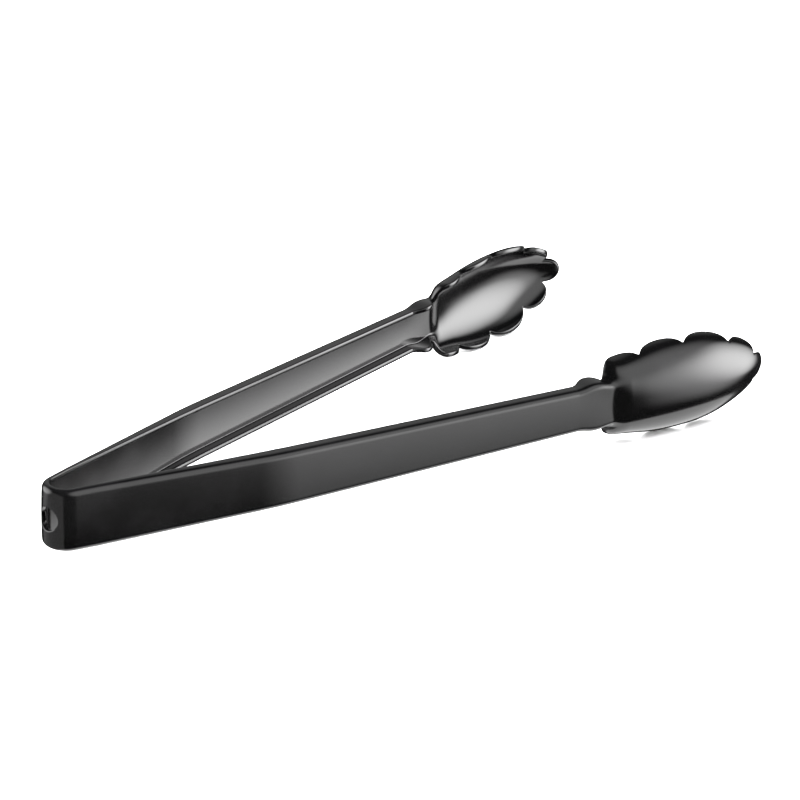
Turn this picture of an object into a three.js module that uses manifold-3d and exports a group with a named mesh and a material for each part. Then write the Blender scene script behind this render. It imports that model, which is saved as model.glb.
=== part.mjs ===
import * as THREE from 'three';
import { mergeVertices } from 'three/addons/utils/BufferGeometryUtils.js';
import Module from 'manifold-3d';

// Spring tongs moulded in one piece: a bent strap is the spring, its two legs run on as
// channel arms, and each arm ends in a scalloped scoop. Units are millimetres, +X runs from
// the bend to the scoops, +Y to the far arm and +Z up. Along an arm, s is the distance from
// the end of the bend, and inset is the depth measured inwards from the arm's outer face.

// Driving sizes
const wall = 2.0;
const bendRadius = 9.4;
const strapHeight = 25.0;
const hangHoleRadius = 4.75;
const legLength = 9.0;
const neckLength = 83.7;
const armLength = 215.3;
const armEndHeight = 17.8;
const neckAngle = THREE.MathUtils.degToRad(14.1);
const armAngle = THREE.MathUtils.degToRad(10.1);
const neckBendLength = 16;
const flangeStart = 2.9;
const flangeDepth = 5.6;
const scoopLength = 88.7;
const scoopHalfWidth = 19.0;
const scoopBulge = 3.15;
const scoopRimDepth = 9.2;
const lobeDepth = 7.0;
const tipHalfWidth = 0.8;

// Clearances and small radii
const flexGap = 0.6;
const seamGap = 0.3;
const outerCorner = 2.4;
const innerCorner = 0.8;
const rootFillet = 1.0;
const filletShare = 0.8;

// How finely curves are cut
const cornerSteps = 3;
const bendSteps = 24;
const flangeSteps = 8;
const neckBendSteps = 4;
const lobeSteps = 7;
const settleSteps = 20;
const rootSteps = 6;
const scoopSteps = 16;
const holeSides = 40;

const blackPlastic = { color: 0x0b0b0c, roughness: 0.16, metalness: 0 };

const manifoldModule = await Module();
manifoldModule.setup();

// The outer face's line seen from above, for the side at +Y (side 1) or -Y (side -1)
function armPath(side, s) {
  const turnStart = neckLength - neckBendLength / 2;
  const turned = THREE.MathUtils.clamp((s - turnStart) / neckBendLength, 0, 1);
  const angle = neckAngle + (armAngle - neckAngle) * turned;
  const radius = neckBendLength / (neckAngle - armAngle);
  const straight = Math.min(s, turnStart);
  const after = Math.max(s - turnStart - neckBendLength, 0);
  const x = bendRadius * (1 - Math.sin(neckAngle)) + straight * Math.cos(neckAngle)
    + radius * (Math.sin(neckAngle) - Math.sin(angle)) + after * Math.cos(armAngle);
  const y = bendRadius * Math.cos(neckAngle) + straight * Math.sin(neckAngle)
    + radius * (Math.cos(angle) - Math.cos(neckAngle)) + after * Math.sin(armAngle);
  return {
    point: new THREE.Vector2(x, side * y),
    normal: new THREE.Vector2(-Math.sin(angle), side * Math.cos(angle)),
  };
}

// The same line around the bend, turn 0 at the back and 1 or -1 where a leg starts
function bendPath(turn) {
  const angle = turn * (Math.PI / 2 - neckAngle);
  const normal = new THREE.Vector2(-Math.cos(angle), Math.sin(angle));
  return {
    point: new THREE.Vector2(bendRadius, 0).addScaledVector(normal, bendRadius),
    normal,
  };
}

function strapHalfHeight(s) {
  const along = THREE.MathUtils.clamp((s - legLength) / (armLength - legLength), 0, 1);
  return THREE.MathUtils.lerp(strapHeight, armEndHeight, along) / 2;
}

function place(frame, inset, z) {
  const flat = frame.point.clone().addScaledVector(frame.normal, -inset);
  return new THREE.Vector3(flat.x, flat.y, z);
}

// Part of a round corner, as [inset, z] points from one angle to another
function corner(centreInset, centreZ, radius, from, to) {
  const points = [];
  for (let i = 0; i <= cornerSteps; i += 1) {
    const angle = THREE.MathUtils.degToRad(from + ((to - from) * i) / cornerSteps);
    points.push([centreInset + radius * Math.cos(angle), centreZ + radius * Math.sin(angle)]);
  }
  return points;
}

// Channel with its web outside and two flanges turned inwards
function channelSection(halfHeight, depth) {
  const high = halfHeight - outerCorner;
  const fillet = Math.min(innerCorner, filletShare * (depth - wall));
  const inside = halfHeight - wall - fillet;
  return [
    [depth, halfHeight],
    ...corner(outerCorner, high, outerCorner, 90, 180),
    ...corner(outerCorner, -high, outerCorner, 180, 270),
    [depth, -halfHeight],
    [depth, wall - halfHeight],
    ...corner(wall + fillet, -inside, fillet, 270, 180),
    ...corner(wall + fillet, inside, fillet, 180, 90),
    [depth, halfHeight - wall],
  ];
}

// A closed solid through a row of rings with equal point counts; capLoop is the first
// ring in its own plane, and its triangles close both ends
function skin(rings, capLoop) {
  const count = rings[0].length;
  const positions = rings.flat().flatMap((point) => [point.x, point.y, point.z]);
  const last = (rings.length - 1) * count;
  const index = [];
  for (let ring = 0; ring < rings.length - 1; ring += 1) {
    for (let i = 0; i < count; i += 1) {
      const a = ring * count + i;
      const b = ring * count + ((i + 1) % count);
      index.push(a, b, b + count, a, b + count, a + count);
    }
  }
  const contour = capLoop.map(([x, y]) => new THREE.Vector2(x, y));
  for (const [a, b, c] of THREE.ShapeUtils.triangulateShape(contour, [])) {
    const anticlockwise = !THREE.ShapeUtils.isClockWise([contour[a], contour[b], contour[c]]);
    const same = anticlockwise === !THREE.ShapeUtils.isClockWise(contour);
    const [p, q] = same ? [b, c] : [c, b];
    index.push(a, q, p, last + a, last + p, last + q);
  }
  return facingOut(positions, index);
}

// Turns every face round when the solid came out inside out
function facingOut(positions, index) {
  const corners = [0, 1, 2].map(() => new THREE.Vector3());
  let volume = 0;
  for (let i = 0; i < index.length; i += 3) {
    corners.forEach((point, k) => point.fromArray(positions, index[i + k] * 3));
    volume += corners[0].dot(corners[1].clone().cross(corners[2]));
  }
  const faces = volume < 0 ? [...index].reverse() : index;
  const geometry = new THREE.BufferGeometry();
  geometry.setAttribute('position', new THREE.Float32BufferAttribute(positions, 3));
  geometry.setIndex(faces);
  return geometry;
}

function toManifold(geometry) {
  const bare = geometry.clone();
  bare.deleteAttribute('normal');
  bare.deleteAttribute('uv');
  const merged = mergeVertices(bare, 1e-4);
  return new manifoldModule.Manifold(new manifoldModule.Mesh({
    numProp: 3,
    vertProperties: new Float32Array(merged.attributes.position.array),
    triVerts: new Uint32Array(merged.index.array),
  }));
}

function fromManifold(solid) {
  const mesh = solid.getMesh();
  const geometry = new THREE.BufferGeometry();
  geometry.setAttribute('position', new THREE.BufferAttribute(mesh.vertProperties, 3));
  geometry.setIndex(new THREE.BufferAttribute(mesh.triVerts, 1));
  return geometry;
}

// The bend and two short legs, with the hanging hole through the back
function springBow() {
  const section = channelSection(strapHeight / 2, flangeStart);
  const frames = [armPath(-1, legLength)];
  for (let i = 0; i <= bendSteps; i += 1) {
    frames.push(bendPath((2 * i) / bendSteps - 1));
  }
  frames.push(armPath(1, legLength));
  const rings = frames.map((frame) => section.map(([inset, z]) => place(frame, inset, z)));
  const strap = toManifold(skin(rings, section));
  const hole = new THREE.CylinderGeometry(hangHoleRadius, hangHoleRadius, bendRadius, holeSides);
  hole.rotateZ(Math.PI / 2);
  return fromManifold(strap.subtract(toManifold(hole)));
}

// One channel arm, from the flexing leg to the root of its scoop
function channelArm(side) {
  const first = legLength + flexGap;
  const deepest = neckLength;
  const stations = [];
  for (let i = 0; i < flangeSteps; i += 1) {
    stations.push(THREE.MathUtils.lerp(first, neckLength - neckBendLength / 2, i / flangeSteps));
  }
  for (let i = 0; i <= neckBendSteps; i += 1) {
    stations.push(neckLength + neckBendLength * (i / neckBendSteps - 0.5));
  }
  stations.push(armLength);
  const sections = stations.map((s) => {
    const grown = THREE.MathUtils.clamp((s - first) / (deepest - first), 0, 1);
    return channelSection(strapHalfHeight(s), THREE.MathUtils.lerp(flangeStart, flangeDepth, grown));
  });
  const rings = sections.map((section, i) => {
    const frame = armPath(side, stations[i]);
    return section.map(([inset, z]) => place(frame, inset, z));
  });
  return skin(rings, sections[0]);
}

// The scoop is a bowl that swells out of the end of the channel. Its front outline is given
// in shares of its length and half width, with the tip last
const scoopOutline = [
  [0, 0.8], [0.09, 0.805], [0.18, 0.82], [0.26, 0.863], [0.35, 0.937], [0.461, 0.995],
  [0.5625, 1], [0.664, 0.963], [0.733, 0.895], [0.794, 0.8], [0.853, 0.684], [0.907, 0.547],
  [0.952, 0.39], [0.985, 0.21], [1, tipHalfWidth / scoopHalfWidth],
];
const rimValleys = [0.14, 0.33, 0.557, 0.803, 0.961];

// Rows of the bowl's shape along its length: how far its spine stands out as a share of the
// bulge, how deep its rim lies as a share of the rim depth, and how square its section is.
// The channel's row is its half height as a share of the arm's.
const spineRow = smoothCurve([
  [0, 0.1], [0.135, 0.25], [0.225, 0.48], [0.315, 0.76], [0.405, 0.94], [0.495, 1], [0.585, 0.95],
  [0.675, 0.76], [0.754, 0.44], [0.832, -0.06], [0.889, -0.6], [0.934, -1.2], [0.967, -1.8],
  [0.99, -2.4], [1, -2.75],
]);
const rimRow = smoothCurve([
  [0, flangeDepth / scoopRimDepth], [0.022, 0.71], [0.05, 0.9], [0.09, 0.965], [0.135, 1.01],
  [0.19, 1.055], [0.27, 1.055], [0.36, 1.02], [0.47, 1], [0.68, 1], [0.94, 1.01], [1, 1.02],
]);
const squareRow = smoothCurve([
  [0, 3], [0.16, 3], [0.225, 2.7], [0.305, 2.35], [0.405, 2.1], [0.5, 2], [1, 2],
]);
const channelRow = smoothCurve([
  [0, 1], [0.022, 1.02], [0.056, 1.09], [0.09, 1.12], [0.125, 1.09], [0.16, 1.03], [0.225, 1.01],
  [0.45, 0.9], [1, 0.9],
]);
const shoulder = { from: 0.129, length: 0.063 };
const swell = { from: 0.118, length: 0.141 };

// Smooth curve through a few points
function smoothCurve(points) {
  const last = points.length - 1;
  const gap = points.slice(1).map(([x], i) => x - points[i][0]);
  const rise = points.slice(1).map(([, y], i) => (y - points[i][1]) / gap[i]);
  const bend = points.map(() => 0);
  const carried = points.map(() => 0);
  for (let i = 1; i < last; i += 1) {
    const pivot = 2 * (gap[i - 1] + gap[i]) - gap[i - 1] * carried[i - 1];
    carried[i] = gap[i] / pivot;
    bend[i] = (6 * (rise[i] - rise[i - 1]) - gap[i - 1] * bend[i - 1]) / pivot;
  }
  for (let i = last - 1; i > 0; i -= 1) bend[i] -= carried[i] * bend[i + 1];
  return (x) => {
    let i = 0;
    while (i < last - 1 && x > points[i + 1][0]) i += 1;
    const a = (points[i + 1][0] - x) / gap[i];
    const b = 1 - a;
    return a * points[i][1] + b * points[i + 1][1]
      + (((a ** 3 - a) * bend[i] + (b ** 3 - b) * bend[i + 1]) * gap[i] ** 2) / 6;
  };
}

// The outline by the distance run along it
function outlineCurve() {
  const points = scoopOutline.map(([x, y]) => [x * scoopLength, y * scoopHalfWidth]);
  let run = 0;
  const runs = points.map(([x, y], i) => {
    if (i > 0) run += Math.hypot(x - points[i - 1][0], y - points[i - 1][1]);
    return run;
  });
  return {
    along: smoothCurve(runs.map((at, i) => [at, points[i][0]])),
    width: smoothCurve(runs.map((at, i) => [at, points[i][1]])),
    length: run,
  };
}

// How far a swelling has grown at a share of the length, like a quarter of a circle
function grown({ from, length }, share) {
  const left = 1 - THREE.MathUtils.clamp((share - from) / length, 0, 1);
  return Math.sqrt(1 - left * left);
}

// Distance from the middle of the rim's level to the channel's outer face, at an angle
function channelReach(angle, depth, halfHeight) {
  const cos = Math.cos(angle);
  const sin = Math.sin(angle);
  if (sin * depth <= cos * (halfHeight - outerCorner)) return depth / cos;
  if (cos * halfHeight <= sin * (depth - outerCorner)) return halfHeight / sin;
  const centre = new THREE.Vector2(depth - outerCorner, halfHeight - outerCorner);
  const along = cos * centre.x + sin * centre.y;
  return along + Math.sqrt(Math.max(along ** 2 - centre.lengthSq() + outerCorner ** 2, 0));
}

// The larger of two distances, with a fillet where they meet
function filletedMax(a, b) {
  const share = THREE.MathUtils.clamp(0.5 + (0.5 * (a - b)) / rootFillet, 0, 1);
  return THREE.MathUtils.lerp(b, a, share) + rootFillet * share * (1 - share);
}

// A point of the scoop's outer surface as (along, inset, z), the angle running from the
// spine to the rim
function scoopPoint(outline, run, angle) {
  const along = outline.along(run);
  const share = along / scoopLength;
  const level = scoopRimDepth * rimRow(share);
  const depth = (level + scoopBulge * spineRow(share)) * grown(swell, share);
  const halfWidth = outline.width(run) * grown(shoulder, share);
  const power = squareRow(share);
  const turn = Math.abs(angle);
  let reach = 0;
  if (depth > 0 && halfWidth > 0) {
    reach = ((Math.abs(Math.cos(turn)) / depth) ** power + (Math.sin(turn) / halfWidth) ** power) ** (-1 / power);
  }
  if (share < swell.from + 2 * swell.length) {
    const halfHeight = (armEndHeight / 2) * channelRow(share);
    reach = filletedMax(channelReach(turn, level, halfHeight), reach);
  }
  return new THREE.Vector3(along, level - reach * Math.cos(angle), reach * Math.sin(angle));
}

// Rows of the scoop as [run, rim angle]: the rim is full at each lobe and cut back between
function scoopRows(outline) {
  const alongs = rimValleys.map((share) => share * scoopLength);
  const runAt = (along) => {
    let run = along;
    for (let i = 0; i < settleSteps; i += 1) run += along - outline.along(run);
    return run;
  };
  const valleys = [...alongs.map(runAt), outline.length * 2 - runAt(alongs.at(-1))];
  const rows = [];
  const add = (run, cut) => {
    const share = outline.along(run) / scoopLength;
    const wide = Math.max(outline.width(run) * grown(shoulder, share), armEndHeight / 2);
    rows.push([run, Math.PI / 2 - (cut * lobeDepth) / Math.max(wide, scoopRimDepth)]);
  };
  for (let i = 0; i < rootSteps; i += 1) {
    add((valleys[0] * i) / rootSteps, 1 - Math.sqrt(1 - (i / rootSteps) ** 4));
  }
  for (let k = 0; k + 1 < valleys.length; k += 1) {
    for (let i = 0; i < lobeSteps; i += 1) {
      const angle = (Math.PI * i) / lobeSteps;
      const run = THREE.MathUtils.lerp(valleys[k], valleys[k + 1], (1 - Math.cos(angle)) / 2);
      if (run < outline.length) add(run, 1 - Math.sin(angle));
    }
  }
  add(outline.length, 0);
  return rows;
}

// One scoop: the bowl cut to its lobed rim, with an even wall
function scoop(side) {
  const start = armLength + seamGap;
  const outline = outlineCurve();
  const step = 0.01;
  const loops = scoopRows(outline).map(([run, rim]) => {
    const outer = [];
    const inner = [];
    const centred = THREE.MathUtils.clamp(run, step, outline.length - step);
    for (let i = 0; i <= scoopSteps; i += 1) {
      const angle = rim * ((2 * i) / scoopSteps - 1);
      const point = scoopPoint(outline, run, angle);
      const alongWay = scoopPoint(outline, centred + step, angle)
        .sub(scoopPoint(outline, centred - step, angle));
      const aroundWay = scoopPoint(outline, run, angle + step).sub(scoopPoint(outline, run, angle - step));
      const normal = aroundWay.cross(alongWay).normalize();
      outer.push(point);
      inner.unshift(point.clone().addScaledVector(normal, wall));
    }
    return [...outer, ...inner];
  });
  const rings = loops.map((loop) => loop.map((point) => (
    place(armPath(side, start + point.x), point.y, point.z))));
  return skin(rings, loops[0].map((point) => [point.y, point.z]));
}

function addPiece(group, name, geometry) {
  geometry.computeVertexNormals();
  const mesh = new THREE.Mesh(geometry, new THREE.MeshStandardMaterial(blackPlastic));
  mesh.name = name;
  group.add(mesh);
}

const tongs = new THREE.Group();
addPiece(tongs, 'spring_bow', springBow());
addPiece(tongs, 'near_arm', channelArm(-1));
addPiece(tongs, 'far_arm', channelArm(1));
addPiece(tongs, 'near_scoop', scoop(-1));
addPiece(tongs, 'far_scoop', scoop(1));

// The origin is at the middle of the footprint, on the surface the tongs stand on
const box = new THREE.Box3().setFromObject(tongs);
const middle = box.getCenter(new THREE.Vector3());
tongs.position.set(-middle.x, -middle.y, -box.min.z);

export default tongs;
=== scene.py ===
import math
import bmesh
import bpy
import numpy as np
from mathutils import Matrix, Vector


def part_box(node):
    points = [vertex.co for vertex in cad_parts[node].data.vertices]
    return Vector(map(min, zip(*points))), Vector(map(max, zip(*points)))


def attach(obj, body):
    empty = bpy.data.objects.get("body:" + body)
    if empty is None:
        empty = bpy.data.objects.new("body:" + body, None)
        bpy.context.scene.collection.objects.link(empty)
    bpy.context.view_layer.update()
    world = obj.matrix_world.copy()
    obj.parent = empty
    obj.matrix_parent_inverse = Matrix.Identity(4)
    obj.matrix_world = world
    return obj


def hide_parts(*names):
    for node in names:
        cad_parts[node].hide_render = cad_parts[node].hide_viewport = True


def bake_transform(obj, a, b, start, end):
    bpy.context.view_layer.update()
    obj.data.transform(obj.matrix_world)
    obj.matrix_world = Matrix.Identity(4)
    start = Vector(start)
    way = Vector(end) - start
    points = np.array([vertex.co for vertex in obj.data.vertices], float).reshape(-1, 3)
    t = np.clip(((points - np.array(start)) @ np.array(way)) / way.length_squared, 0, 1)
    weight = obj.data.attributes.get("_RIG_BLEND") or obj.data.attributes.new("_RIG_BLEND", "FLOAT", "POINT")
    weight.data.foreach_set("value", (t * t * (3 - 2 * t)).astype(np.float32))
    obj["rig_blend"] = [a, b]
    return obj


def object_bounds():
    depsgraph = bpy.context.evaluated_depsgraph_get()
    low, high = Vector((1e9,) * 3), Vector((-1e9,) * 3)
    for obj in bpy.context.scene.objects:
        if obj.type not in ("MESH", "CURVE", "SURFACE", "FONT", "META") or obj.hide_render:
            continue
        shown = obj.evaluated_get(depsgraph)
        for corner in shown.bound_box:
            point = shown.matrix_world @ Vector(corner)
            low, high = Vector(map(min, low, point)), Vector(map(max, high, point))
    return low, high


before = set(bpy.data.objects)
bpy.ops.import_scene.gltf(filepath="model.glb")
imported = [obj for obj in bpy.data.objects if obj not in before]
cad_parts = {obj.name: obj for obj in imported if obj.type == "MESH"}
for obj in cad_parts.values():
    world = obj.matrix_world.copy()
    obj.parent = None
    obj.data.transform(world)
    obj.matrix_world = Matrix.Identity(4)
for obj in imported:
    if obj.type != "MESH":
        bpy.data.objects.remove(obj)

cadBox = [list(corner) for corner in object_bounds()]

# Spring tongs in one glossy black moulding. Along an arm, s runs from the end of the bend;
# inset is the depth measured inwards from the arm's outer face; z is height from mid-strap.
mm = 0.001

tongs = {
    "wall": 2.0 * mm,
    "lipRound": 0.5 * mm,
    "bendRadius": 9.4 * mm,
    "strapHeight": 25.0 * mm,
    "holeRadius": 4.75 * mm,
    "legLength": 9.0 * mm,
    "neckLength": 83.7 * mm,
    "armLength": 215.45 * mm,
    "armEndHeight": 17.8 * mm,
    "neckAngle": math.radians(14.1),
    "armAngle": math.radians(10.1),
    "neckBend": 16.0 * mm,
    "flangeStart": 2.9 * mm,
    "flangeDepth": 5.6 * mm,
    "corner": 2.3 * mm,
    "crown": 0.3 * mm,       # the web stands this much prouder in its middle
    "bowEnd": 2.0 * mm,      # the bow carries on this far past the bend
    "hinge": 9.3 * mm,       # where each leg flexes
    "columns": 34,           # across half of the section
    "sectionSteps": 240,
    "lipCuts": 6,
    "softAngle": math.radians(42),
}

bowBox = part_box("spring_bow")
origin = Vector((bowBox[0][0], 0.0, (bowBox[0][2] + bowBox[1][2]) / 2))


# The line of an arm's outer face seen from above, and the way it faces
def armLine(side, s):
    t = tongs
    turnStart = t["neckLength"] - t["neckBend"] / 2
    turned = min(max((s - turnStart) / t["neckBend"], 0), 1)
    angle = t["neckAngle"] + (t["armAngle"] - t["neckAngle"]) * turned
    radius = t["neckBend"] / (t["neckAngle"] - t["armAngle"])
    straight = min(s, turnStart)
    after = max(s - turnStart - t["neckBend"], 0)
    x = (t["bendRadius"] * (1 - math.sin(t["neckAngle"])) + straight * math.cos(t["neckAngle"])
         + radius * (math.sin(t["neckAngle"]) - math.sin(angle)) + after * math.cos(t["armAngle"]))
    y = (t["bendRadius"] * math.cos(t["neckAngle"]) + straight * math.sin(t["neckAngle"])
         + radius * (math.cos(angle) - math.cos(t["neckAngle"])) + after * math.sin(t["armAngle"]))
    return Vector((x, side * y, 0)), Vector((-math.sin(angle), side * math.cos(angle), 0))


def place(line, inset, z):
    point, outwards = line
    return origin + point - outwards * inset + Vector((0, 0, z))


# Distance round the bow from the middle of its back; past the bend it runs along a leg
def bowLine(length):
    radius = tongs["bendRadius"]
    half = radius * (math.pi / 2 - tongs["neckAngle"])
    side = 1 if length > 0 else -1
    if abs(length) > half:
        return armLine(side, abs(length) - half)
    outwards = Vector((-math.cos(length / radius), math.sin(length / radius), 0))
    return Vector((radius, 0, 0)) + outwards * radius, outwards


# Smooth curve through a few points, used for every tapering size
def natural(points):
    xs = np.array([p[0] for p in points], float)
    ys = np.array([p[1] for p in points], float)
    gap = np.diff(xs)
    n = len(xs)
    system = np.eye(n)
    right = np.zeros(n)
    for i in range(1, n - 1):
        system[i, i - 1:i + 2] = gap[i - 1], 2 * (gap[i - 1] + gap[i]), gap[i]
        right[i] = 6 * ((ys[i + 1] - ys[i]) / gap[i] - (ys[i] - ys[i - 1]) / gap[i - 1])
    bend = np.linalg.solve(system, right)

    def at(x):
        i = int(min(max(np.searchsorted(xs, x) - 1, 0), n - 2))
        a = (xs[i + 1] - x) / gap[i]
        b = (x - xs[i]) / gap[i]
        return float(a * ys[i] + b * ys[i + 1]
                     + ((a ** 3 - a) * bend[i] + (b ** 3 - b) * bend[i + 1]) * gap[i] ** 2 / 6)
    return at


# Radius of the channel's outer face about the point (depth, 0), at an angle from the web
def channelRadius(angle, depth, halfHeight):
    r = min(tongs["corner"], depth)
    cos, sin = math.cos(angle), math.sin(angle)
    if sin * depth <= cos * (halfHeight - r):
        return depth / cos
    if cos * halfHeight <= sin * (depth - r):
        return halfHeight / sin
    along = cos * (depth - r) + sin * (halfHeight - r)
    square = (depth - r) ** 2 + (halfHeight - r) ** 2 - r * r
    return along + math.sqrt(max(along * along - square, 0))


# The points of one half section, evenly spaced along it
def spread(points):
    count = tongs["columns"]
    steps = [0.0]
    for a, b in zip(points, points[1:]):
        steps.append(steps[-1] + (b - a).length)
    wanted = [steps[-1] * i / count for i in range(count + 1)]
    placed = [np.interp(wanted, steps, [p[k] for p in points]) for k in range(len(points[0]))]
    return [Vector(values) for values in zip(*placed)]


def halfHeightAt(s):
    t = tongs
    share = min(max((s - t["legLength"]) / (t["armLength"] - t["legLength"]), 0), 1)
    return (t["strapHeight"] + (t["armEndHeight"] - t["strapHeight"]) * share) / 2


def depthAt(s):
    t = tongs
    share = min(max((s - t["legLength"]) / (t["neckLength"] - t["legLength"]), 0), 1)
    return t["flangeStart"] + (t["flangeDepth"] - t["flangeStart"]) * share


# Inset and z from the middle of the web out to where the lip begins to round over
def channelHalf(halfHeight, depth):
    last = math.pi / 2 - tongs["lipRound"] / halfHeight
    points = []
    for i in range(tongs["sectionSteps"] + 1):
        angle = last * i / tongs["sectionSteps"]
        r = channelRadius(angle, depth, halfHeight)
        z = r * math.sin(angle)
        sunk = tongs["crown"] * (z / halfHeight) ** 2
        points.append(Vector((depth - r * math.cos(angle) + sunk, z)))
    return spread(points)


# Turns an open skin into an even wall with rounded lips
def makeWall(bm, isLip, middle, outwards, stepFor=None):
    wall, lip = tongs["wall"], tongs["lipRound"]
    bm.normal_update()
    if middle.normal.dot(outwards) < 0:
        bmesh.ops.reverse_faces(bm, faces=bm.faces[:])
        bm.normal_update()
    step, way = (bm.verts.layers.float_vector[key] for key in ("wallStep", "lipWay"))
    share, mark = bm.verts.layers.float["wallShare"], bm.verts.layers.int["lip"]
    lipEdges = [e for e in bm.edges if e.is_boundary and isLip(e)]
    lipVerts = {v for e in lipEdges for v in e.verts}
    for v in bm.verts:
        v[step] = stepFor(v) if stepFor else -wall * v.normal
    for v in lipVerts:
        ends = [e.other_vert(v).co for e in v.link_edges if e in lipEdges]
        run = (ends[1] - ends[0]) if len(ends) > 1 else (ends[0] - v.co)
        out = run.cross(v.normal).normalized()
        inner = sum((f.calc_center_median() for f in v.link_faces), Vector()) / len(v.link_faces)
        v[way] = out if out.dot(v.co - inner) > 0 else -out
        v[mark] = 1
    made = bmesh.ops.extrude_face_region(bm, geom=bm.faces[:])["geom"]
    fresh = {g for g in made if isinstance(g, bmesh.types.BMVert)}
    for v in fresh:
        v.co += v[step]
        v[share] = 1.0
    across = [e for e in bm.edges if (e.verts[0] in fresh) != (e.verts[1] in fresh)]
    rising = [e for e in across if e.verts[0][mark] and e.verts[1][mark]]
    old = set(bm.verts)
    cuts = tongs["lipCuts"]
    bmesh.ops.subdivide_edges(bm, edges=rising, cuts=cuts, use_grid_fill=True)
    for v in bm.verts:
        if v in old:
            continue
        # a quarter turn out from each face of the wall, meeting in the middle
        ring = round(v[share] * (cuts + 1))
        turn = math.pi * min(ring, cuts + 1 - ring) / cuts
        deep = lip / wall * (1 - math.cos(turn))
        deep = deep if ring <= cuts / 2 else 1 - deep
        v.co += v[step] * (deep - v[share]) + v[way] * lip * math.sin(turn)
    bmesh.ops.recalc_face_normals(bm, faces=bm.faces[:])


def finish(bm, name, node, material):
    for edge in bm.edges:
        edge.smooth = edge.calc_face_angle(0) < tongs["softAngle"]
    for face in bm.faces:
        face.smooth = True
    mesh = bpy.data.meshes.new(name)
    bm.to_mesh(mesh)
    bm.free()
    mesh.materials.append(material)
    piece = bpy.data.objects.new(name, mesh)
    bpy.context.scene.collection.objects.link(piece)
    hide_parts(node)
    print("made", name, len(mesh.polygons), "faces")
    return piece


# A flat grid, handed back as rows of verts ready to be put in place
def gridVerts(bm, rows, columns):
    bm.verts.layers.float_vector.new("wallStep")
    bm.verts.layers.float_vector.new("lipWay")
    bm.verts.layers.float.new("wallShare")
    bm.verts.layers.int.new("lip")
    bmesh.ops.create_grid(bm, x_segments=rows, y_segments=columns, size=0.5)
    table = [[None] * (columns + 1) for i in range(rows + 1)]
    for v in bm.verts:
        i = round((v.co.x + 0.5) * rows)
        j = round((v.co.y + 0.5) * columns)
        table[i][j] = v
    return table


bow = {
    "rows": 48,
    "blockRows": 8, "blockColumns": 12,      # half size of the patch opened for the hole
    "relaxed": (0.8, 0.35),                  # share of the length and height that relaxes
    "relaxPasses": 40,
    "holeFade": 3 * mm,                      # the wall turns to follow the hole this far out
}


# Bent strap with the hanging hole through its back
def makeBow(material):
    t = tongs
    half = t["bendRadius"] * (math.pi / 2 - t["neckAngle"]) + t["bowEnd"]
    rows = bow["rows"]
    columns = 2 * t["columns"]
    section = channelHalf(t["strapHeight"] / 2, t["flangeStart"])
    girth = [0.0]
    for a, b in zip(section, section[1:]):
        girth.append(girth[-1] + (b - a).length)
    bm = bmesh.new()
    table = gridVerts(bm, rows, columns)
    for i, row in enumerate(table):
        for j, v in enumerate(row):
            across = j - t["columns"]
            width = girth[abs(across)] * (1 if across > 0 else -1)
            v.co = Vector((half * (2 * i / rows - 1), width, 0))

    # open the hole in the flat strip, then let the grid relax round it
    cut = t["holeRadius"] + t["lipRound"]
    blockRows, blockColumns = bow["blockRows"], bow["blockColumns"]
    midRow, midColumn = rows // 2, columns // 2
    block = {v for i, row in enumerate(table) for j, v in enumerate(row)
             if abs(i - midRow) <= blockRows and abs(j - midColumn) <= blockColumns}
    inside = [f for f in bm.faces if all(v in block for v in f.verts)]
    bmesh.ops.delete(bm, geom=inside, context="FACES")
    loose = [v for v in bm.verts if not v.link_faces]
    bmesh.ops.delete(bm, geom=loose, context="VERTS")
    rim = [v for v in bm.verts if v.is_boundary and v in block]
    for v in rim:
        i = v.co.x / (half / rows * 2) / blockRows
        j = v.co.y / (girth[1]) / blockColumns
        turn = math.atan2(j, i)
        y, z = cut * math.cos(turn), cut * math.sin(turn)
        v.co = Vector((t["bendRadius"] * math.asin(y / t["bendRadius"]), z, 0))
    farthest = half * bow["relaxed"][0], t["strapHeight"] * bow["relaxed"][1]
    moving = [v for v in bm.verts if not v.is_boundary
              and abs(v.co.x) < farthest[0] and abs(v.co.y) < farthest[1]]
    for i in range(bow["relaxPasses"]):
        bmesh.ops.smooth_vert(bm, verts=moving, factor=0.5, use_axis_x=True, use_axis_y=True)

    # bend the strip; its width runs over the corner and down the lip
    insets = [p[0] for p in section]
    heights = [p[1] for p in section]
    for v in bm.verts:
        length, width = v.co.x, v.co.y
        inset = float(np.interp(abs(width), girth, insets))
        z = float(np.interp(abs(width), girth, heights)) * (1 if width > 0 else -1)
        v.co = place(bowLine(length), inset, z)

    radius, wall = t["bendRadius"], t["wall"]

    def stepFor(v):
        # round the hole the wall runs straight through; elsewhere it follows the surface
        y, z = v.co.y, v.co.z - origin.z
        if v.co.x - origin.x > radius * 0.6 or abs(y) > radius * 0.72:
            return -wall * v.normal
        away = min(max((math.hypot(y, z) - cut) / bow["holeFade"], 0), 1)
        keep = 1 - away * away * (3 - 2 * away)
        through = math.sqrt(radius ** 2 - y * y) - math.sqrt((radius - wall) ** 2 - y * y)
        return (-wall * v.normal).lerp(Vector((through, 0, 0)), keep)

    ends = [(place(line, 0, 0), line[1]) for line in (bowLine(half), bowLine(-half))]

    def isLip(edge):
        middle = (edge.verts[0].co + edge.verts[1].co) / 2
        for end, outwards in ends:
            along = Vector((outwards.y, -outwards.x, 0))
            if abs((middle - end).dot(along)) < 1e-6 and (middle - end).length < t["strapHeight"]:
                return False
        return True

    makeWall(bm, isLip, table[0][t["columns"]], bowLine(-half)[1], stepFor)
    piece = finish(bm, "springBow", "spring_bow", material)
    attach(piece, "bow")
    return piece


arm = {
    "flexEnd": 20 * mm,      # the leg that flexes ends here
    "stations": (14, 14, 13, 28),
}


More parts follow.
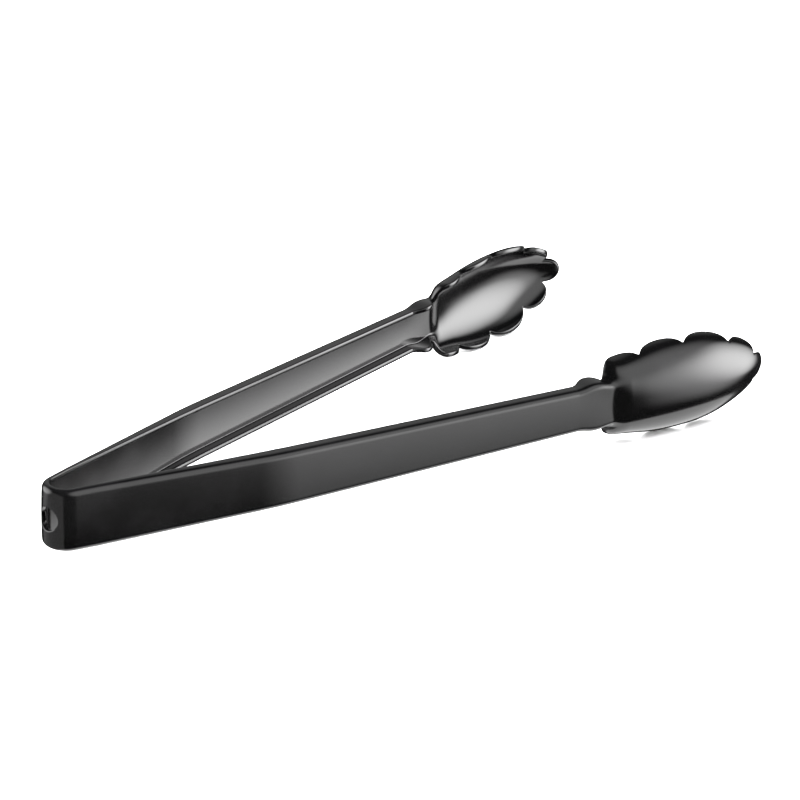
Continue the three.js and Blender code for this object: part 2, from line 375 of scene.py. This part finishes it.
# One channel arm, from the bow to the root of its scoop
def makeArm(side, name, node, body, material):
    t = tongs
    first = t["bowEnd"]
    bendFrom = t["neckLength"] - t["neckBend"] / 2
    marks = (first, arm["flexEnd"], bendFrom, bendFrom + t["neckBend"], t["armLength"])
    stations = [first]
    for start, end, count in zip(marks, marks[1:], arm["stations"]):
        stations += list(np.linspace(start, end, count))[1:]
    columns = t["columns"]
    bm = bmesh.new()
    table = gridVerts(bm, len(stations) - 1, 2 * columns)
    for s, row in zip(stations, table):
        section = channelHalf(halfHeightAt(s), depthAt(s))
        line = armLine(side, s)
        for j, v in enumerate(row):
            inset, z = section[abs(j - columns)]
            v.co = place(line, inset, z if j > columns else -z)
    ends = set(table[0] + table[-1])
    makeWall(bm, lambda edge: not (edge.verts[0] in ends and edge.verts[1] in ends),
             table[0][columns], armLine(side, first)[1])
    piece = finish(bm, name, node, material)
    start = place(armLine(side, first), 0, 0)
    end = place(armLine(side, 2 * t["hinge"] - first), 0, 0)
    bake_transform(piece, "bow", body, start=tuple(start), end=tuple(end))
    return piece


scoop = {
    # everything here is in millimetres, the first number of a pair being the distance past
    # the arm; this is the bowl's outline from the front, with its half width
    "outline": [(0, 15.2), (8, 15.3), (16, 15.6), (23, 16.4), (31, 17.8), (41, 18.9), (50, 19.0),
                (59, 18.3), (65.2, 17.0), (70.6, 15.2), (75.8, 13.0), (80.6, 10.4), (84.6, 7.4),
                (87.6, 4.0), (88.9, 0), (87.6, -4.0), (84.6, -7.4)],
    "tip": 14,                                  # which outline point is the tip
    "shoulderFrom": 10.4, "shoulderLength": 8.0,     # where the bowl swells out of the channel
    "spineRise": 10.5, "spineLength": 12.5,          # where its back swells out
    "spine": [(0, -0.3), (12, -0.8), (20, -1.5), (28, -2.4), (36, -2.95), (44, -3.15), (52, -3.0),
              (60, -2.4), (67, -1.4), (74, 0.2), (80, 2.1)],
    "level": [(0, 5.6), (2, 6.6), (4.5, 8.3), (8, 8.9), (12, 9.3), (17, 9.7), (24, 9.7), (32, 9.4),
              (42, 9.2), (60, 9.2), (75, 9.2), (84, 9.3), (90, 9.4)],
    "square": [(0, 3.0), (14, 3.0), (20, 2.7), (27, 2.35), (36, 2.1), (44, 2.0), (90, 2.0)],
    # half height of the channel that runs into the bowl, and how far it reaches
    "channel": [(0, 8.9), (2, 9.1), (5, 9.7), (8, 10.0), (11, 9.7), (14, 9.2), (20, 9.0), (40, 8.0)],
    "channelOnly": 10, "channelEnd": 30, "channelWidest": 40,
    "crownEnd": 14,
    "valleys": [12.4, 29.3, 49.5, 71.4, 85.4],       # between the lobes of the rim
    "lobeCut": 7.0,
    "rootLobe": 9,
    "lobeSmoothing": (0.2, 20),                      # grid and number of passes
    "fanFrom": 50, "lastFoot": 74,                   # rows fan out round the tip
    "fillet": 1.8,
    "steps": ((0, 9, 0.6), (9, 18, 0.32)), "rest": 160, "sectionSteps": 160,
    "least": 0.01,
}


# The outline's two coordinates by the distance run along it, and the run up to the tip
def outlineCurve():
    points = scoop["outline"]
    steps = [0.0]
    for a, b in zip(points, points[1:]):
        steps.append(steps[-1] + math.dist(a, b))
    along = natural([(s, p[0]) for s, p in zip(steps, points)])
    width = natural([(s, p[1]) for s, p in zip(steps, points)])
    return along, width, steps[scoop["tip"]]


# How far each row of the scoop stops short of its full section: nothing at the middle of a
# lobe, the whole cut at a valley
def lobedRim(marks, alongs, length):
    cuts = [np.interp(v, alongs, marks) for v in scoop["valleys"]]
    cuts += [2 * length - cuts[-1]]
    rootLobe = scoop["rootLobe"]
    short = []
    for m in marks:
        if m <= cuts[0]:
            x = min(max((m - (cuts[0] - rootLobe)) / rootLobe, 0), 1)
            arch = math.sqrt(1 - x ** 4)
        else:
            k = max(i for i, c in enumerate(cuts) if c <= m)
            x = (m - cuts[k]) / (cuts[k + 1] - cuts[k])
            arch = math.sqrt(max(1 - (2 * x - 1) ** 2, 0))
        short.append(scoop["lobeCut"] * (1 - arch))
    grid, passes = scoop["lobeSmoothing"]
    even = np.arange(0, length + grid / 2, grid)
    smooth = np.interp(even, marks, short)
    for i in range(passes):
        padded = np.concatenate([smooth[:1], smooth, smooth[-2:-1]])
        smooth = (padded[:-2] + 2 * padded[1:-1] + padded[2:]) / 4
    return np.interp(marks, even, smooth)


# How far a swelling has grown at x, like a quarter of a circle
def grown(x, start, length):
    share = min(max((x - start) / length, 0), 1)
    return math.sqrt(1 - (1 - share) ** 2)


# Reach of the scoop's section at an angle: the channel and the bowl with a fillet between
def sectionReach(angle, x, top, deep, wide, power, channelHeight):
    bowl = 0.0
    if min(deep, wide) > scoop["least"]:
        bowl = ((math.cos(angle) / deep) ** power
                + (math.sin(angle) / wide) ** power) ** (-1 / power)
    if x >= scoop["channelEnd"]:
        return bowl
    box = channelRadius(angle, top * mm, channelHeight * mm) / mm
    if x < scoop["channelOnly"]:
        return box
    fillet = scoop["fillet"]
    share = min(max(0.5 + 0.5 * (box - bowl) / fillet, 0), 1)
    return bowl + (box - bowl) * share + fillet * share * (1 - share)


# One scoop. Each row runs from a foot on the spine out to the rim; towards the tip the feet
# fall behind, so that the rows fan out
def makeScoop(side, name, node, body, material):
    t = tongs
    columns = t["columns"]
    along, width, length = outlineCurve()
    spine, level, square, channel = (natural(scoop[key])
                                     for key in ("spine", "level", "square", "channel"))
    marks = [m for steps in scoop["steps"] for m in np.arange(*steps)]
    marks += list(np.linspace(scoop["steps"][-1][1], length, scoop["rest"]))
    rim = lobedRim(marks, [along(m) for m in marks], length)
    fanMark = scoop["fanFrom"]
    fanStart = along(fanMark)
    run, footRun = length - fanMark, scoop["lastFoot"] - fanStart
    least = scoop["least"]
    bm = bmesh.new()
    table = gridVerts(bm, len(marks) - 1, 2 * columns)
    for m, short, row in zip(marks, rim, table):
        x, w = along(m), width(m)
        foot = x
        if m > fanMark:
            part, lead = (m - fanMark) / run, run / footRun
            foot = fanStart + footRun * (lead * part + (1 - lead) * part ** 2)
        top = level(x)
        tilt = (spine(foot + least) - spine(foot - least)) / (2 * least) * (x - foot)
        reachOut = math.hypot(x - foot, w)
        deep = (top - spine(foot) - tilt) * grown(x, scoop["spineRise"], scoop["spineLength"])
        wide = reachOut * grown(x, scoop["shoulderFrom"], scoop["shoulderLength"])
        girth = max(wide, channel(min(x, scoop["channelWidest"])))
        last = math.pi / 2 - (short + t["lipRound"] / mm) / girth
        crownHere = t["crown"] / mm * max(1 - x / scoop["crownEnd"], 0)
        points = []
        for i in range(scoop["sectionSteps"] + 1):
            angle = last * i / scoop["sectionSteps"]
            r = sectionReach(angle, x, top, deep, wide, square(x), channel(x))
            out = r * math.sin(angle)
            share = out / reachOut
            crown = crownHere * min(out / channel(0), 1) ** 2
            inset = top - r * math.cos(angle) - tilt * (1 - share) + crown
            points.append(Vector((foot + (x - foot) * share, inset, w * share)))
        half = spread(points)
        for j, v in enumerate(row):
            a, inset, z = half[abs(j - columns)] * mm
            v.co = place(armLine(side, t["armLength"] + a), inset, z if j > columns else -z)
    ends = set(table[0])
    bmesh.ops.remove_doubles(bm, verts=bm.verts[:], dist=least * mm)
    makeWall(bm, lambda edge: not (edge.verts[0] in ends and edge.verts[1] in ends),
             table[0][columns], armLine(side, t["armLength"])[1])
    piece = finish(bm, name, node, material)
    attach(piece, body)
    return piece


plastic = {
    "colour": (0.0012, 0.0012, 0.0013, 1),
    "haze": (0.0026, 0.0026, 0.0028, 1),     # where handling has dulled the gloss
    "gloss": 0.11, "dull": 0.17, "scuffed": 0.27,
    "cloud": (38, 3), "grain": (1900, 2), "ripple": (30, 1), "scratch": (1100, 2),   # scale, detail
    "scratchStretch": 26,
    "dulling": (0.35, 0.7), "hazing": (0.48, 0.66), "scratching": (0.66, 0.74),
    "rippleDepth": 0.6, "grainDepth": 0.05, "scratchDepth": 0.04,
    "bump": 0.02 * mm,
}


# Colour, roughness and height of the moulded skin from a place on it
def makeSurfaceGroup():
    p = plastic
    group = bpy.data.node_groups.new("mouldedSkin", "ShaderNodeTree")
    face = group.interface
    face.new_socket("Place", in_out="INPUT", socket_type="NodeSocketVector")
    for name, kind in (("Colour", "NodeSocketColor"), ("Roughness", "NodeSocketFloat"),
                       ("Height", "NodeSocketFloat")):
        face.new_socket(name, in_out="OUTPUT", socket_type=kind)
    nodes, links = group.nodes, group.links
    start, end = nodes.new("NodeGroupInput"), nodes.new("NodeGroupOutput")

    def noise(key, place):
        scale, detail = p[key]
        node = nodes.new("ShaderNodeTexNoise")
        node.inputs["Scale"].default_value = scale
        node.inputs["Detail"].default_value = detail
        links.new(place, node.inputs["Vector"])
        return node.outputs["Fac"]

    def between(value, key, low=0, high=1):
        node = nodes.new("ShaderNodeMapRange")
        node.interpolation_type = "SMOOTHSTEP"
        links.new(value, node.inputs["Value"])
        for slot, number in zip(("From Min", "From Max", "To Min", "To Max"), (*p[key], low, high)):
            node.inputs[slot].default_value = number
        return node.outputs["Result"]

    def combine(kind, a, b):
        node = nodes.new("ShaderNodeMath")
        node.operation = kind
        for slot, value in zip(node.inputs, (a, b)):
            if isinstance(value, (int, float)):
                slot.default_value = value
            else:
                links.new(value, slot)
        return node.outputs["Value"]

    place = start.outputs["Place"]
    cloud, grain, ripple = (noise(key, place) for key in ("cloud", "grain", "ripple"))
    drawn = nodes.new("ShaderNodeMapping")
    drawn.inputs["Scale"].default_value = (1 / p["scratchStretch"], 1, 1)
    links.new(place, drawn.inputs["Vector"])
    streak = noise("scratch", drawn.outputs["Vector"])
    patch = between(cloud, "hazing")
    scratch = combine("MULTIPLY", between(streak, "scratching"), patch)

    worn = between(cloud, "dulling", p["gloss"], p["dull"])
    scuff = combine("MULTIPLY", scratch, p["scuffed"] - p["dull"])
    links.new(combine("ADD", worn, scuff), end.inputs["Roughness"])

    tint = nodes.new("ShaderNodeMix")
    tint.data_type = "RGBA"
    links.new(patch, tint.inputs["Factor"])
    tint.inputs["A"].default_value = p["colour"]
    tint.inputs["B"].default_value = p["haze"]
    links.new(tint.outputs["Result"], end.inputs["Colour"])

    height = combine("ADD", combine("MULTIPLY", ripple, p["rippleDepth"]),
                     combine("MULTIPLY", grain, p["grainDepth"]))
    height = combine("SUBTRACT", height, combine("MULTIPLY", scratch, p["scratchDepth"]))
    links.new(height, end.inputs["Height"])
    return group


def makePlastic():
    material = bpy.data.materials.new("blackPlastic")
    material.use_nodes = True
    nodes, links = material.node_tree.nodes, material.node_tree.links
    shader = nodes["Principled BSDF"]
    where = nodes.new("ShaderNodeTexCoord")
    skin = nodes.new("ShaderNodeGroup")
    skin.node_tree = makeSurfaceGroup()
    bump = nodes.new("ShaderNodeBump")
    bump.inputs["Distance"].default_value = plastic["bump"]
    bump.inputs["Strength"].default_value = 1
    links.new(where.outputs["Object"], skin.inputs["Place"])
    links.new(skin.outputs["Colour"], shader.inputs["Base Color"])
    links.new(skin.outputs["Roughness"], shader.inputs["Roughness"])
    links.new(skin.outputs["Height"], bump.inputs["Height"])
    links.new(bump.outputs["Normal"], shader.inputs["Normal"])
    print("made the plastic")
    return material


stage = {
    "size": 6, "below": 0.2 * mm,
    "colour": (0.85, 0.85, 0.85, 1), "roughness": 0.9,
}


def makeStage():
    mesh = bpy.data.meshes.new("floor")
    bm = bmesh.new()
    bmesh.ops.create_grid(bm, x_segments=1, y_segments=1, size=stage["size"])
    bm.to_mesh(mesh)
    bm.free()
    floor = bpy.data.objects.new("floor", mesh)
    bpy.context.scene.collection.objects.link(floor)
    floor.location.z = cadBox[0][2] - stage["below"]
    material = bpy.data.materials.new("paleFloor")
    material.use_nodes = True
    shader = material.node_tree.nodes["Principled BSDF"]
    shader.inputs["Base Color"].default_value = stage["colour"]
    shader.inputs["Roughness"].default_value = stage["roughness"]
    shader.inputs["Specular IOR Level"].default_value = 0.0
    mesh.materials.append(material)
    floor.visible_glossy = False      # the gloss mirrors the soft panels, not the floor
    print("made the floor")


room = {
    "spot": (0.1, 0.3, 1.3), "aim": (0.02, 0, 0), "lampSize": (3.4, 3.0), "lampPower": 200,
    "ambient": 0.05,
    # soft panels round the tongs: bearing, height in degrees, inner and outer spread, strength
    "panels": [(-37, 6, 0, 35, 8.5), (-50, -6, 8, 36, 3.6), (-70, 26, 10, 50, 2.2),
               (50, 30, 8, 40, 0.4), (-12, -75, 29.5, 30.8, 2.5), (160, -24, 52.5, 53.5, 0.55),
               (125, 12, 6, 38, 4.0)],
}


# A wide lamp for the floor
def makeOverhead():
    lamp = bpy.data.lights.new("overhead", "AREA")
    lamp.shape = "RECTANGLE"
    lamp.size, lamp.size_y = room["lampSize"]
    lamp.energy = room["lampPower"]
    light = bpy.data.objects.new("overhead", lamp)
    light.location = room["spot"]
    way = Vector(room["aim"]) - Vector(room["spot"])
    light.rotation_euler = way.to_track_quat("-Z", "Y").to_euler()
    light.visible_glossy = False      # the gloss mirrors only the soft panels
    bpy.context.scene.collection.objects.link(light)


# Soft panels for the gloss: each fades out with the angle from its own direction
def makePanels():
    world = bpy.data.worlds.new("room")
    bpy.context.scene.world = world
    world.use_nodes = True
    nodes, links = world.node_tree.nodes, world.node_tree.links
    back = nodes["Background"]
    back.inputs["Color"].default_value = (1, 1, 1, 1)
    where = nodes.new("ShaderNodeTexCoord")
    total = None
    for bearing, height, inner, outer, strength in room["panels"]:
        bearing, height = math.radians(bearing), math.radians(height)
        towards = nodes.new("ShaderNodeVectorMath")
        towards.operation = "DOT_PRODUCT"
        towards.inputs[1].default_value = (math.cos(bearing) * math.cos(height),
                                           math.sin(bearing) * math.cos(height), math.sin(height))
        links.new(where.outputs["Generated"], towards.inputs[0])
        fade = nodes.new("ShaderNodeMapRange")
        fade.interpolation_type = "SMOOTHSTEP"
        fade.inputs["From Min"].default_value = math.cos(math.radians(outer))
        fade.inputs["From Max"].default_value = math.cos(math.radians(inner))
        fade.inputs["To Max"].default_value = strength
        links.new(towards.outputs["Value"], fade.inputs["Value"])
        add = nodes.new("ShaderNodeMath")
        add.operation = "ADD"
        add.inputs[1].default_value = room["ambient"]
        if total:
            links.new(total, add.inputs[1])
        links.new(fade.outputs["Result"], add.inputs[0])
        total = add.outputs["Value"]
    links.new(total, back.inputs["Strength"])
    print("made", len(room["panels"]), "soft panels")


view = {
    "azimuth": 40.817, "tilt": 23.84, "roll": 0.665,
    "target": (0.01879, 0, 0.01896), "distance": 2.765,
    "lens": 323.5, "clipEnd": 50,
}


def makeCamera():
    azimuth, tilt, roll = (math.radians(view[key]) for key in ("azimuth", "tilt", "roll"))
    forward = Vector((math.sin(azimuth) * math.cos(tilt), math.cos(azimuth) * math.cos(tilt),
                      -math.sin(tilt)))
    right = Vector((math.cos(azimuth), -math.sin(azimuth), 0))
    up = right.cross(forward)
    across = right * math.cos(roll) + up * math.sin(roll)
    upward = up * math.cos(roll) - right * math.sin(roll)
    data = bpy.data.cameras.new("camera")
    data.lens = view["lens"]
    data.clip_end = view["clipEnd"]
    camera = bpy.data.objects.new("camera", data)
    turn = Matrix((across, upward, -forward)).transposed().to_4x4()
    spot = Vector(view["target"]) - forward * view["distance"]
    camera.matrix_world = Matrix.Translation(spot) @ turn
    bpy.context.scene.collection.objects.link(camera)
    bpy.context.scene.camera = camera
    print("made the camera")


makeCamera()
makeStage()
makePanels()
makeOverhead()
bpy.context.scene.view_settings.view_transform = "Standard"
blackPlastic = makePlastic()
makeBow(blackPlastic)
makeArm(-1, "nearArm", "near_arm", "near_side", blackPlastic)
makeArm(1, "farArm", "far_arm", "far_side", blackPlastic)
makeScoop(-1, "nearScoop", "near_scoop", "near_side", blackPlastic)
makeScoop(1, "farScoop", "far_scoop", "far_side", blackPlastic)
